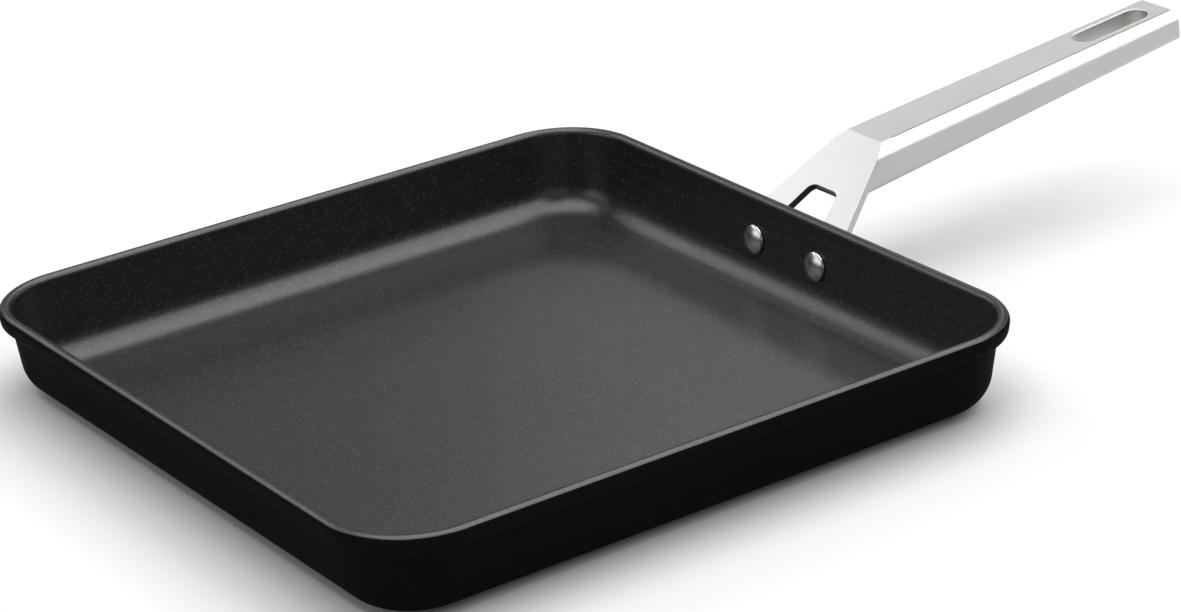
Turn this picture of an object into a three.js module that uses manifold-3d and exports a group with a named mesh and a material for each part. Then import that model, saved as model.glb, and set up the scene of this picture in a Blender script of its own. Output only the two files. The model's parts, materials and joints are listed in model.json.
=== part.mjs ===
// A square griddle pan: a pressed tray with a rolled rim, and a long steel handle riveted to one wall.
// The handle runs along +X, Z is up, and the origin is the middle of the base's underside.

import * as THREE from 'three';
import { mergeVertices } from 'three/addons/utils/BufferGeometryUtils.js';
import Module from 'manifold-3d';

const wasm = await Module();
wasm.setup();

// Driving dimensions of the tray, in millimetres and degrees.
const RIM_SIDE = 290; // across the rolled rim, outside to outside
const RIM_CORNER_R = 34.2; // outside corner of the rim, seen from above
const PAN_HEIGHT = 35.4; // underside of the base to the top of the rim
const CURL_W = 5.1; // rolled rim, from its outside to the wall's inner face
const CURL_H = 7.4; // rolled rim, from its top to its lower edge
const SHEET = 1.5; // pressed sheet of the floor and walls
const WALL_DRAFT = 8; // lean of the walls from upright
const BASE_FILLET_R = 13.5; // outside bend between wall and base
const CURL_SEAM = 0.6; // slit between the curled edge and the wall
const CURL_SEAM_DEPTH = 1.2; // how far that slit reaches into the curl

// Driving dimensions of the handle's grip.
const CREST_DISTANCE = 34.6; // rim out to the crest, the upper edge between the bracket and the grip
const CREST_RISE = 21.1; // top of the rim to the crest
const GRIP_SLOPE = 6.2; // upward slope of the grip's top
const GRIP_LENGTH = 159.9; // crest to the far end, along the slope
const GRIP_FLAT_CREST = 20.4; // flat of the grip's top at the crest
const GRIP_FLAT_END = 17; // flat of the grip's top at the far end
const GRIP_DEPTH_CREST = 17; // grip, top to underside, at the crest
const GRIP_DEPTH_END = 12.8; // grip, top to underside, at the far end
const SHOULDER_R = 4.3; // bend between the grip's top and its sides
const LOWER_EDGE_R = 2.6; // rounding along the lower edge of the sides
const STEEL = 3; // sheet of the handle
const UNDERSIDE_T = 2; // strip that closes the grip from below
const END_PLATE_T = 2.5; // plate that closes the grip's far end
const SIDE_RELIEF = 0.8; // slit between the bracket and the folded sides

// Driving dimensions of the hanging slot.
const SLOT_LENGTH = 38; // clear opening, end to end
const SLOT_WIDTH = 11; // clear opening, side to side
const SLOT_END_LAND = 7.6; // slot to the far end of the grip
const LINER_T = 1.2; // wall of the sleeve that lines the slot

// Driving dimensions of the fork bracket.
const RIM_CLEARANCE = 1.1; // rolled rim to the bracket's front face
const LEG_SPACING = 38.2; // between the middles of the two legs, which is also the rivets' spacing
const LEG_W = 14; // a leg below its splay
const SPLAY_DROP = 5.8; // top of the rim down to where the legs stop splaying
const WINDOW_TOP_W = 15.9; // window between the legs, at its top
const WINDOW_R = 4; // top corners of the window
const WINDOW_LAND = 0.1; // grip's underside to the top of the window
const CREST_BEND_R = 2; // inside bend at the crest
const FOOT_BEND_R = 1.5; // inside bend above the feet

// Driving dimensions of the rivets.
const RIVET_LAND = 1.6; // formed tail to the bend above the foot
const RIVET_SHANK_D = 5;
const RIVET_HEAD_D = 12;
const RIVET_HEAD_H = 2.4;
const RIVET_TAIL_D = 7;
const RIVET_TAIL_H = 1.2;
const RIVET_RIM = 0.6; // upright rim under the domed head

// Clearance between pieces that seat on each other or pass through each other.
const FIT_GAP = 0.25;

// Faceting and cutting allowances.
const CORNER_STEPS = 8;
const FILLET_STEPS = 6;
const CURL_STEPS = 8;
const BEND_STEPS = 5;
const SHOULDER_STEPS = 6;
const LOWER_EDGE_STEPS = 4;
const ROUND_STEPS = 28;
const LEAST_R = 0.2; // smallest radius left where two faces meet
const OVERCUT = 40; // how far a cutting shape runs past what it cuts

// Solids and geometries

/** A closed three.js geometry as a solid that can be joined and cut. */
function toSolid(geometry) {
  const bare = geometry.clone();
  bare.deleteAttribute('normal');
  bare.deleteAttribute('uv');
  const merged = mergeVertices(bare);
  const vertProperties = new Float32Array(merged.attributes.position.array);
  const triVerts = new Uint32Array(merged.index.array);
  return new wasm.Manifold(new wasm.Mesh({ numProp: 3, vertProperties, triVerts }));
}

/** A solid as a three.js geometry. */
function toGeometry(solid) {
  const mesh = solid.getMesh();
  const geometry = new THREE.BufferGeometry();
  geometry.setAttribute('position', new THREE.BufferAttribute(mesh.vertProperties, 3));
  geometry.setIndex(new THREE.BufferAttribute(mesh.triVerts, 1));
  geometry.computeVertexNormals();
  return geometry;
}

/** A geometry from a list of points and a list of triangles. */
function fromTriangles(points, triangles) {
  const geometry = new THREE.BufferGeometry().setFromPoints(points);
  geometry.setIndex(triangles.flat());
  return geometry;
}

/** A frame whose first axis is `along`, in the XZ plane, and whose second axis is world Y. */
function frameAlong(origin, along) {
  const across = new THREE.Vector3(0, 1, 0);
  const through = new THREE.Vector3().crossVectors(along, across);
  return new THREE.Matrix4().makeBasis(along, across, through).setPosition(origin);
}

/** An outline extruded from `low` to `high` along a frame's third axis. */
function prism(shape, low, high, frame) {
  const geometry = new THREE.ExtrudeGeometry(shape, {
    depth: high - low,
    bevelEnabled: false,
    curveSegments: ROUND_STEPS / 4,
  });
  return toSolid(geometry.translate(0, 0, low).applyMatrix4(frame));
}

/** A side view, drawn in X and Z, extruded across the whole width of the handle. */
function sideExtrusion(outline) {
  const geometry = new THREE.ExtrudeGeometry(new THREE.Shape(outline), {
    depth: 2 * OVERCUT,
    bevelEnabled: false,
  });
  return toSolid(geometry.rotateX(Math.PI / 2).translate(0, OVERCUT, 0));
}

/** A rectangle as an outline. */
function rectangle(lowX, lowY, highX, highY) {
  return new THREE.Shape([
    new THREE.Vector2(lowX, lowY),
    new THREE.Vector2(highX, lowY),
    new THREE.Vector2(highX, highY),
    new THREE.Vector2(lowX, highY),
  ]);
}

/** A slot with round ends, along the first axis of its frame. */
function obround(middle, length, width) {
  const r = width / 2;
  const half = length / 2 - r;
  const shape = new THREE.Shape();
  shape.absarc(middle + half, 0, r, -Math.PI / 2, Math.PI / 2, false);
  shape.absarc(middle - half, 0, r, Math.PI / 2, 1.5 * Math.PI, false);
  return shape;
}

/** Points on an arc, both ends included, with angles in radians. */
function arc(centre, r, from, to, steps) {
  const points = [];
  for (let i = 0; i <= steps; i += 1) {
    const angle = from + ((to - from) * i) / steps;
    points.push(new THREE.Vector2(Math.cos(angle), Math.sin(angle)).multiplyScalar(r).add(centre));
  }
  return points;
}

/** Where two lines cross, each given by a point and a direction. */
function crossing(p, d, q, e) {
  const along = new THREE.Vector2().subVectors(q, p).cross(e) / d.cross(e);
  return p.clone().addScaledVector(d, along);
}

/** A corner of a path, rounded to a radius. */
function roundedCorner(before, corner, after, r, steps) {
  const back = new THREE.Vector2().subVectors(before, corner).normalize();
  const ahead = new THREE.Vector2().subVectors(after, corner).normalize();
  const half = Math.acos(back.dot(ahead)) / 2;
  const middle = back.clone().add(ahead).normalize();
  const centre = corner.clone().addScaledVector(middle, r / Math.sin(half));
  const first = corner.clone().addScaledVector(back, r / Math.tan(half)).sub(centre).angle();
  const last = corner.clone().addScaledVector(ahead, r / Math.tan(half)).sub(centre).angle();
  const turn = ((last - first + 3 * Math.PI) % (2 * Math.PI)) - Math.PI;
  return arc(centre, r, first, first + turn, steps);
}

// The tray

const curlR = CURL_W / 2;
const draft = THREE.MathUtils.degToRad(WALL_DRAFT);
// In the tray's section the first coordinate is the inset from the rim's outside.
// The second is the height.
const wallInward = new THREE.Vector2(Math.cos(draft), Math.sin(draft));
const wallDown = new THREE.Vector2(Math.sin(draft), -Math.cos(draft));
const curlTop = new THREE.Vector2(curlR, PAN_HEIGHT - curlR);
const curlFoot = curlTop.clone().addScaledVector(wallDown, Math.max(CURL_H - CURL_W, LEAST_R));
const outerFaceOffset = curlR - SHEET;
const outerFacePoint = curlTop.clone().addScaledVector(wallInward, outerFaceOffset);

/** The tray's section, from the middle of the floor over the rim to the middle of the base. */
function traySection() {
  const bendAcross = BASE_FILLET_R * (1 - Math.sin(draft)) + outerFacePoint.dot(wallInward);
  const bendMiddle = new THREE.Vector2(bendAcross / Math.cos(draft), BASE_FILLET_R);
  const downward = 1.5 * Math.PI;
  const outward = Math.PI + draft;
  const coveR = Math.max(BASE_FILLET_R - SHEET, LEAST_R);
  const alongWall = (offset, reach) =>
    curlFoot.clone().addScaledVector(wallInward, offset).addScaledVector(wallDown, reach);
  const seamOffset = outerFaceOffset - CURL_SEAM;
  const curlReach = Math.sqrt(Math.max(curlR ** 2 - seamOffset ** 2, 0));
  const curlEnd = downward + draft + Math.atan2(seamOffset, curlReach);
  return [
    ...arc(bendMiddle, coveR, downward, outward, FILLET_STEPS),
    ...arc(curlTop, curlR, draft, outward, CURL_STEPS),
    ...arc(curlFoot, curlR, outward, curlEnd, CURL_STEPS),
    alongWall(seamOffset, curlReach - CURL_SEAM_DEPTH),
    alongWall(outerFaceOffset, curlReach - CURL_SEAM_DEPTH),
    ...arc(bendMiddle, BASE_FILLET_R, outward, downward, FILLET_STEPS),
  ];
}

/** One turn round the tray at a point of its section: a square with round corners. */
function trayRing({ x: inset, y: height }) {
  const half = RIM_SIDE / 2 - inset;
  const cornerR = Math.max(RIM_CORNER_R - inset, LEAST_R);
  const ring = [];
  for (let quarter = 0; quarter < 4; quarter += 1) {
    const start = (quarter * Math.PI) / 2;
    const diagonal = start + Math.PI / 4;
    const corner = new THREE.Vector2(Math.sign(Math.cos(diagonal)), Math.sign(Math.sin(diagonal)));
    corner.multiplyScalar(half - cornerR);
    for (const p of arc(corner, cornerR, start, start + Math.PI / 2, CORNER_STEPS)) {
      ring.push(new THREE.Vector3(p.x, p.y, height));
    }
  }
  return ring;
}

/** The tray's section carried round the square, closed by the floor and the base. */
function trayGeometry() {
  const section = traySection();
  const rings = section.map(trayRing);
  const count = rings[0].length;
  const points = rings.flat();
  const triangles = [];
  for (let i = 0; i + 1 < rings.length; i += 1) {
    for (let j = 0; j < count; j += 1) {
      const next = (j + 1) % count;
      const [a, d] = [i * count + j, i * count + next];
      const [b, c] = [a + count, d + count];
      triangles.push([a, b, c], [a, c, d]);
    }
  }
  const floorMiddle = points.push(new THREE.Vector3(0, 0, section[0].y)) - 1;
  const baseMiddle = points.push(new THREE.Vector3(0, 0, section.at(-1).y)) - 1;
  const lastRing = (rings.length - 1) * count;
  for (let j = 0; j < count; j += 1) {
    const next = (j + 1) % count;
    triangles.push([floorMiddle, j, next], [baseMiddle, lastRing + next, lastRing + j]);
  }
  return fromTriangles(points, triangles);
}

// Where the handle stands: its side view, in X and Z

const sideView = (inset, height) => new THREE.Vector2(RIM_SIDE / 2 - inset, height);
const inSpace = (p) => new THREE.Vector3(p.x, 0, p.y);
const curl = sideView(curlFoot.x, curlFoot.y);
const wallOut = new THREE.Vector2(wallInward.x, -wallInward.y);
const footDown = new THREE.Vector2(-wallDown.x, wallDown.y);
const footFace = sideView(outerFacePoint.x, outerFacePoint.y).addScaledVector(wallOut, FIT_GAP);

const slope = THREE.MathUtils.degToRad(GRIP_SLOPE);
const gripAlong = new THREE.Vector2(Math.cos(slope), Math.sin(slope));
const crest = new THREE.Vector2(RIM_SIDE / 2 + CREST_DISTANCE, PAN_HEIGHT + CREST_RISE);

// The bracket's front face runs down from the crest and passes the rim at the stated clearance.
const crestToCurl = new THREE.Vector2().subVectors(curl, crest);
const passing = Math.asin((curlR + RIM_CLEARANCE) / crestToCurl.length());
const plateDown = crestToCurl.clone().normalize().rotateAround(new THREE.Vector2(), passing);
const plateRear = new THREE.Vector2(-plateDown.y, plateDown.x);
const bend = crossing(crest, plateDown, footFace, footDown);
const crestTurn = Math.PI + Math.atan2(plateDown.y, plateDown.x) - slope;
const bracketLength = bend.distanceTo(crest);

const gripFrame = frameAlong(inSpace(crest), inSpace(gripAlong));
const plateFrame = frameAlong(inSpace(crest), inSpace(plateDown));
// The bend above the feet takes up some of the foot's rear face, and the rivets sit clear of it.
const footTurn = Math.acos(plateDown.dot(footDown));
const bendReach = (STEEL + FOOT_BEND_R) * Math.tan(footTurn / 2);
const rivetPoint = bend.clone().addScaledVector(footDown, bendReach + RIVET_LAND + RIVET_TAIL_D / 2);
const footFrame = frameAlong(inSpace(rivetPoint), inSpace(footDown));
const SIDES = { rivet_left: 1, rivet_right: -1 };

// The grip

const gripFlat = (s) => GRIP_FLAT_CREST + ((GRIP_FLAT_END - GRIP_FLAT_CREST) * s) / GRIP_LENGTH;
const gripDepth = (s) => GRIP_DEPTH_CREST + ((GRIP_DEPTH_END - GRIP_DEPTH_CREST) * s) / GRIP_LENGTH;
const gripHalf = (s) => gripFlat(s) / 2 + SHOULDER_R;
const innerHalf = (s) => gripHalf(s) - STEEL;
const innerR = Math.max(SHOULDER_R - STEEL, LEAST_R);

/** Half a section of the grip mirrored to a whole one, anticlockwise seen from the far end. */
function gripRing(s, half, top, bottom, topR, bottomR) {
  const right = [
    ...arc(new THREE.Vector2(half - bottomR, bottom + bottomR), bottomR, -Math.PI / 2, 0, LOWER_EDGE_STEPS),
    ...arc(new THREE.Vector2(half - topR, top - topR), topR, 0, Math.PI / 2, SHOULDER_STEPS),
  ];
  const left = right.map((p) => new THREE.Vector2(-p.x, p.y)).reverse();
  return [...right, ...left].map((p) => new THREE.Vector3(s, p.x, p.y));
}

/** A straight loft between two sections of the grip. */
function gripLoft(first, last) {
  const count = first.length;
  const triangles = [];
  for (let j = 0; j < count; j += 1) {
    const next = (j + 1) % count;
    triangles.push([j, next, count + next], [j, count + next, count + j]);
  }
  for (let j = 1; j + 1 < count; j += 1) {
    triangles.push([0, j + 1, j], [count, count + j, count + j + 1]);
  }
  return toSolid(fromTriangles([...first, ...last], triangles).applyMatrix4(gripFrame));
}

/** The grip's outside, run on in front of the crest, where the bracket's face cuts it. */
function gripOutside() {
  const ring = (s) => gripRing(s, gripHalf(s), 0, -gripDepth(s), SHOULDER_R, LOWER_EDGE_R);
  return gripLoft(ring(-OVERCUT), ring(GRIP_LENGTH));
}

/** The hollow of the grip, open below and at the far end. */
function gripHollow() {
  const ring = (s) => gripRing(s, innerHalf(s), -STEEL, -gripDepth(s) - OVERCUT, innerR, LEAST_R);
  return gripLoft(ring(-OVERCUT), ring(GRIP_LENGTH + OVERCUT));
}

/** Everything on the tray's side of a plane that lies `behind` the bracket's front face. */
function aheadOfPlate(behind, from = -OVERCUT) {
  const far = bracketLength + OVERCUT;
  return prism(rectangle(from, -OVERCUT, far, OVERCUT), -2 * OVERCUT, behind, plateFrame);
}

/** A slot with round ends, cut down through the grip. */
function slotPrism(margin) {
  const middle = GRIP_LENGTH - SLOT_END_LAND - SLOT_LENGTH / 2;
  const outline = obround(middle, SLOT_LENGTH + 2 * margin, SLOT_WIDTH + 2 * margin);
  return prism(outline, -OVERCUT, OVERCUT, gripFrame);
}

// The bracket

/** The bracket's side view: one sheet, bent at the crest and above the feet. */
function bracketSide() {
  const gripRun = crest.clone().addScaledVector(gripAlong, GRIP_DEPTH_CREST);
  const footEnd = rivetPoint.clone().addScaledVector(footDown, LEG_W);
  const gripDown = new THREE.Vector2(gripAlong.y, -gripAlong.x);
  const rear = (p, normal) => p.clone().addScaledVector(normal, STEEL);
  const rearCrest = crossing(rear(crest, gripDown), gripAlong, rear(crest, plateRear), plateDown);
  const rearBend = crossing(rear(crest, plateRear), plateDown, rear(footFace, wallOut), footDown);
  const rearRun = rear(gripRun, gripDown);
  const rearEnd = rear(footEnd, wallOut);
  const crestArc = roundedCorner(gripRun, crest, bend, CREST_BEND_R + STEEL, BEND_STEPS);
  const rearCrestArc = roundedCorner(rearBend, rearCrest, rearRun, CREST_BEND_R, BEND_STEPS);
  // Past the crest the sheet narrows to its middle, so that the grip's own faces take over from it.
  const runOn = (last, before) => last.clone().multiplyScalar(2).sub(before);
  return [
    gripRun.lerp(rearRun, 1 / 2),
    runOn(crestArc[0], crestArc[1]),
    ...crestArc,
    ...roundedCorner(crest, bend, footEnd, FOOT_BEND_R + STEEL, BEND_STEPS),
    footEnd,
    rearEnd,
    ...roundedCorner(rearEnd, rearBend, rearCrest, FOOT_BEND_R, BEND_STEPS),
    ...rearCrestArc,
    runOn(rearCrestArc.at(-1), rearCrestArc.at(-2)),
  ];
}

// Down the bracket's front face from the crest.
const shoulderEnd = SHOULDER_R / Math.sin(crestTurn);
const windowTop = (GRIP_DEPTH_CREST - STEEL * Math.cos(crestTurn)) / Math.sin(crestTurn) + WINDOW_LAND;
const splayEnd = (PAN_HEIGHT - SPLAY_DROP - crest.y) / plateDown.y;

/** The bracket's outline on its own plane: two legs that splay out from the grip's sides. */
function plateOutline() {
  const legOut = LEG_SPACING / 2 + LEG_W / 2;
  const legIn = LEG_SPACING / 2 - LEG_W / 2;
  const legEnd = bracketLength + FOOT_BEND_R;
  const splayStart = new THREE.Vector2(shoulderEnd, gripHalf(0));
  const splayStop = new THREE.Vector2(splayEnd, legOut);
  const cornerIn = new THREE.Vector2(splayEnd, legIn);
  const cornerTop = new THREE.Vector2(windowTop, WINDOW_TOP_W / 2);
  const windowMiddle = new THREE.Vector2(windowTop, 0);
  const half = [
    splayStart.clone().lerp(splayStop, -SHOULDER_R / splayStart.distanceTo(splayStop)),
    splayStop,
    new THREE.Vector2(legEnd, legOut),
    new THREE.Vector2(legEnd, legIn),
    cornerIn,
    ...roundedCorner(cornerIn, cornerTop, windowMiddle, WINDOW_R, BEND_STEPS),
  ];
  const otherHalf = half.map((p) => new THREE.Vector2(p.x, -p.y)).reverse();
  return new THREE.Shape([...half, ...otherHalf]);
}

/** A foot's outline on the wall: straight below the bend, round under the rivet. */
function footOutline(side) {
  const middle = (side * LEG_SPACING) / 2;
  const r = LEG_W / 2;
  const top = -rivetPoint.distanceTo(bend) - FOOT_BEND_R;
  const shape = new THREE.Shape();
  shape.moveTo(top, middle - r);
  shape.absarc(0, middle, r, -Math.PI / 2, Math.PI / 2, false);
  shape.lineTo(top, middle + r);
  return shape;
}

/** The fork bracket before its rivet holes. Its upper part is as wide as the grip. */
function bracketSolid() {
  const reach = 2 * STEEL + FOOT_BEND_R;
  const upperEnd = (shoulderEnd + windowTop) / 2;
  let outline = gripOutside().subtract(aheadOfPlate(OVERCUT, upperEnd));
  outline = outline.add(prism(plateOutline(), -reach, reach, plateFrame));
  for (const side of Object.values(SIDES)) {
    outline = outline.add(prism(footOutline(side), -reach, reach, footFrame));
  }
  return sideExtrusion(bracketSide()).intersect(outline);
}

// The rivets

/** A round hole for a rivet's shank, through the wall and the foot. */
function rivetHole(side) {
  const hole = new THREE.Shape();
  hole.absarc(0, (side * LEG_SPACING) / 2, RIVET_SHANK_D / 2 + FIT_GAP, 0, 2 * Math.PI, false);
  return prism(hole, -2 * SHEET, 2 * STEEL, footFrame);
}

/** A rivet on its own axis: a domed head above, a flatter formed tail below. */
function rivetGeometry() {
  const shankR = RIVET_SHANK_D / 2;
  const headR = RIVET_HEAD_D / 2;
  const tailR = RIVET_TAIL_D / 2;
  const headSeat = FIT_GAP + SHEET + FIT_GAP;
  const tailSeat = -STEEL - FIT_GAP;
  const domeH = RIVET_HEAD_H - RIVET_RIM;
  const domeR = (headR ** 2 + domeH ** 2) / (2 * domeH);
  const domeMiddle = new THREE.Vector2(0, headSeat + RIVET_HEAD_H - domeR);
  const domeEdge = Math.acos(headR / domeR);
  const profile = [
    new THREE.Vector2(0, tailSeat - RIVET_TAIL_H),
    new THREE.Vector2(tailR - RIVET_TAIL_H / 2, tailSeat - RIVET_TAIL_H),
    new THREE.Vector2(tailR, tailSeat - RIVET_TAIL_H / 2),
    new THREE.Vector2(tailR, tailSeat),
    new THREE.Vector2(shankR, tailSeat),
    new THREE.Vector2(shankR, headSeat),
    new THREE.Vector2(headR, headSeat),
    ...arc(domeMiddle, domeR, domeEdge, Math.PI / 2, BEND_STEPS),
  ];
  profile.at(-1).x = 0;
  return new THREE.LatheGeometry(profile, ROUND_STEPS);
}

// Finishes

const finish = (color, roughness, metalness) =>
  new THREE.MeshStandardMaterial({ color, roughness, metalness });
const nonStick = () => finish(0x1a1a1a, 0.55, 0.1);
const satinSteel = () => finish(0xd6d6d3, 0.32, 1);
const polishedSteel = () => finish(0xc9c9c6, 0.25, 1);

/** A named piece. */
function piece(name, geometry, material) {
  const mesh = new THREE.Mesh(geometry, material);
  mesh.name = name;
  return mesh;
}

// The pieces

function panBody() {
  let tray = toSolid(trayGeometry());
  for (const side of Object.values(SIDES)) {
    tray = tray.subtract(rivetHole(side));
  }
  return piece('pan_body', toGeometry(tray), nonStick());
}

function handleShell() {
  // The folded sides part from the bracket where the shoulders end, behind its sheet.
  const relief = (SHOULDER_R - STEEL * Math.cos(crestTurn)) / Math.sin(crestTurn);
  let shell = gripOutside().subtract(gripHollow());
  shell = shell.subtract(aheadOfPlate(STEEL / 2));
  shell = shell.subtract(aheadOfPlate(STEEL + SIDE_RELIEF, relief));
  shell = shell.add(bracketSolid());
  for (const side of Object.values(SIDES)) {
    shell = shell.subtract(rivetHole(side));
  }
  shell = shell.subtract(slotPrism(LINER_T + FIT_GAP));
  return piece('handle_shell', toGeometry(shell), satinSteel());
}

function handleUnderside() {
  const ring = (s) =>
    gripRing(s, innerHalf(s) - FIT_GAP, UNDERSIDE_T - gripDepth(s), -gripDepth(s), LEAST_R, LEAST_R);
  const strip = gripLoft(ring(-OVERCUT), ring(GRIP_LENGTH - END_PLATE_T - FIT_GAP));
  const cut = strip.subtract(aheadOfPlate(STEEL + FIT_GAP)).subtract(slotPrism(LINER_T + FIT_GAP));
  return piece('handle_underside', toGeometry(cut), satinSteel());
}

function handleEndPlate() {
  const ring = (s) => gripRing(s, innerHalf(s) - FIT_GAP, -STEEL - FIT_GAP, -gripDepth(s), innerR, LEAST_R);
  const plate = gripLoft(ring(GRIP_LENGTH - END_PLATE_T), ring(GRIP_LENGTH));
  return piece('handle_end_plate', toGeometry(plate), satinSteel());
}

function slotLiner() {
  const sleeve = slotPrism(LINER_T).subtract(slotPrism(0)).intersect(gripOutside());
  return piece('slot_liner', toGeometry(sleeve), polishedSteel());
}

function rivets() {
  const towardTray = inSpace(wallOut).negate();
  return Object.entries(SIDES).map(([name, side]) => {
    const rivet = piece(name, rivetGeometry(), polishedSteel());
    rivet.position.set(rivetPoint.x, (side * LEG_SPACING) / 2, rivetPoint.y);
    rivet.quaternion.setFromUnitVectors(new THREE.Vector3(0, 1, 0), towardTray);
    return rivet;
  });
}

const handle = new THREE.Group();
handle.add(handleShell(), handleUnderside(), handleEndPlate(), slotLiner(), ...rivets());

const griddlePan = new THREE.Group();
griddlePan.add(panBody(), handle);

export default griddlePan;
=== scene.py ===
"""Looks of a square griddle pan with a long steel handle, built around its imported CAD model."""

import json
import logging
import math
from dataclasses import dataclass
from enum import Enum
from typing import Iterable, Sequence

import bmesh
import bpy
from mathutils import Matrix, Vector

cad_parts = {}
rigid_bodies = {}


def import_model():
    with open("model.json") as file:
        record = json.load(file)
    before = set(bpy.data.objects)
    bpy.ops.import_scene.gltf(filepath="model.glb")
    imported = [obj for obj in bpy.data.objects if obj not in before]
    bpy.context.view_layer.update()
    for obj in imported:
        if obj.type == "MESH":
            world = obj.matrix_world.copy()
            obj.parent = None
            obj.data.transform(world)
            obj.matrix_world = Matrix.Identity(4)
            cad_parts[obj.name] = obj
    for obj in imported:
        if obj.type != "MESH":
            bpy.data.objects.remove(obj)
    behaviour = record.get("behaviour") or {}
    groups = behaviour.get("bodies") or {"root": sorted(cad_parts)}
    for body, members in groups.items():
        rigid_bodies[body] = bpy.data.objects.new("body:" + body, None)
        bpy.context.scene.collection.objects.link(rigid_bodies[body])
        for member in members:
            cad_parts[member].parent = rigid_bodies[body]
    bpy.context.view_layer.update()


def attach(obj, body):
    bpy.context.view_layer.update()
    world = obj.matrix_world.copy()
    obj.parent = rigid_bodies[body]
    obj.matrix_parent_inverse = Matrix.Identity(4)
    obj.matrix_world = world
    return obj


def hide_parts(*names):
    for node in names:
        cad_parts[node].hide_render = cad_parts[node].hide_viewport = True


LOG = logging.getLogger("griddle_pan")
MM = 0.001
BODY = "root"
QUARTER = math.pi / 2
# Corners closer than this, in metres, are one corner.
SAME_PLACE = 1e-7
# Edges that turn by more degrees than this stay sharp.
FOLDED_EDGE, PRESSED_EDGE, SLEEVE_EDGE = 28.0, 40.0, 50.0
# Attribute that tells the tray's outside (1) from its inside (0). On the rim it also fades the cooking coat
# to a darker colour, which is painted shade where the rim turns outwards.
SIDE_AND_SHADE_MARK = "shade"
# Place of the near-black material for the window's cut edge, which is painted shade, in a piece's list of
# materials.
SHADED_EDGE = 1
# Most values of a noise lie between these two.
NOISE_BAND = (0.3, 0.7)
# Watts of a soft box for each square metre and unit of radiance.
LAMP_WATTS = 4.0

Loop = list[Vector]
Piece = bpy.types.Object
Material = bpy.types.Material
Socket = bpy.types.NodeSocket
Tree = bpy.types.NodeTree


class MaterialSlot(Enum):
    """The record's material slots."""

    COAT = "nonstick_coat"
    SATIN = "satin_steel"
    POLISHED = "polished_steel"


class Cut(Enum):
    """How two solids are combined."""

    JOIN = "UNION"
    REMOVE = "DIFFERENCE"


class Given(Enum):
    """What a node tree can be given."""

    SHAPE = "NodeSocketGeometry"
    NUMBER = "NodeSocketFloat"
    COUNT = "NodeSocketInt"
    PLACE = "NodeSocketVector"
    FINISH = "NodeSocketMaterial"


# Plane geometry


def arc(centre: Vector, r: float, start: float, end: float, steps: int) -> Loop:
    """Points on an arc, both ends included.

    Args:
        centre: Middle of the arc, in a plane.
        r: Radius.
        start: First angle, in radians.
        end: Last angle, in radians.
        steps: Number of chords.

    Returns:
        The points, in order.
    """
    angles = (start + (end - start) * i / steps for i in range(steps + 1))
    return [centre + Vector((math.cos(a), math.sin(a))) * r for a in angles]


def crossing(p: Vector, d: Vector, q: Vector, e: Vector) -> Vector:
    """The point where the line through p along d meets the line through q along e."""
    return p + d * ((q - p).cross(e) / d.cross(e))


def turned(v: Vector, angle: float) -> Vector:
    """A plane vector turned anticlockwise by an angle in radians."""
    return Matrix.Rotation(angle, 2) @ v


def rounded_corner(before: Vector, corner: Vector, after: Vector, r: float, steps: int) -> Loop:
    """A corner of a path, rounded to a radius.

    Args:
        before: Point ahead of the corner.
        corner: The sharp corner.
        after: Point past the corner.
        r: Radius of the rounding.
        steps: Number of chords.

    Returns:
        Points from one tangent point to the other.
    """
    back = (before - corner).normalized()
    ahead = (after - corner).normalized()
    half = back.angle(ahead) / 2
    centre = corner + (back + ahead).normalized() * (r / math.sin(half))
    first = corner + back * (r / math.tan(half)) - centre
    last = corner + ahead * (r / math.tan(half)) - centre
    turn = math.atan2(first.cross(last), first.dot(last))
    start = math.atan2(first.y, first.x)
    return arc(centre, r, start, start + turn, steps)


def inset(outline: Sequence[Vector], distance: float) -> Loop:
    """A closed outline moved inwards, to the left of its direction.

    Args:
        outline: Corners, anticlockwise.
        distance: How far each side moves.

    Returns:
        As many corners as came in.
    """
    moved = []
    for i, p in enumerate(outline):
        before = (p - outline[i - 1]).normalized()
        after = (outline[(i + 1) % len(outline)] - p).normalized()
        left = turned(before, QUARTER)
        normal = (left + turned(after, QUARTER)).normalized()
        moved.append(p + normal * (distance / normal.dot(left)))
    return moved


def edge_rounding(r: float, steps: int) -> list[tuple[float, float]]:
    """A quarter round as (how far in, how far down), from the face to the side."""
    angles = (QUARTER * i / steps for i in range(steps + 1))
    return [(r * (1 - math.sin(a)), r * (1 - math.cos(a))) for a in angles]


def mirrored(right: Sequence[Vector]) -> Loop:
    """The left half of an outline, in the order that carries on from its right half."""
    return [Vector((-p.x, p.y)) for p in reversed(right)]


# Meshes


def new_piece(name: str, mesh: bpy.types.Mesh) -> Piece:
    """Puts a mesh in the scene as an object at the origin.

    Args:
        name: Name of the piece.
        mesh: Its mesh.

    Returns:
        The new object.
    """
    piece = bpy.data.objects.new(name, mesh)
    bpy.context.scene.collection.objects.link(piece)
    return piece


def turn_outwards(mesh: bpy.types.Mesh) -> None:
    """Merges doubled corners and points every face outwards.

    Args:
        mesh: The mesh of a closed solid.
    """
    work = bmesh.new()
    work.from_mesh(mesh)
    bmesh.ops.remove_doubles(work, verts=work.verts, dist=SAME_PLACE)
    bmesh.ops.recalc_face_normals(work, faces=work.faces)
    work.to_mesh(mesh)
    work.free()


def from_faces(name: str, points: Sequence[Vector], faces: Iterable[Sequence[int]]) -> Piece:
    """A closed solid from corners and faces, with its faces turned outwards.

    Args:
        name: Name of the piece.
        points: Corners, in metres.
        faces: Corner numbers of each face.

    Returns:
        The new object.
    """
    mesh = bpy.data.meshes.new(name)
    mesh.from_pydata([tuple(p) for p in points], [], [tuple(f) for f in faces])
    turn_outwards(mesh)
    return new_piece(name, mesh)


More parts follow.
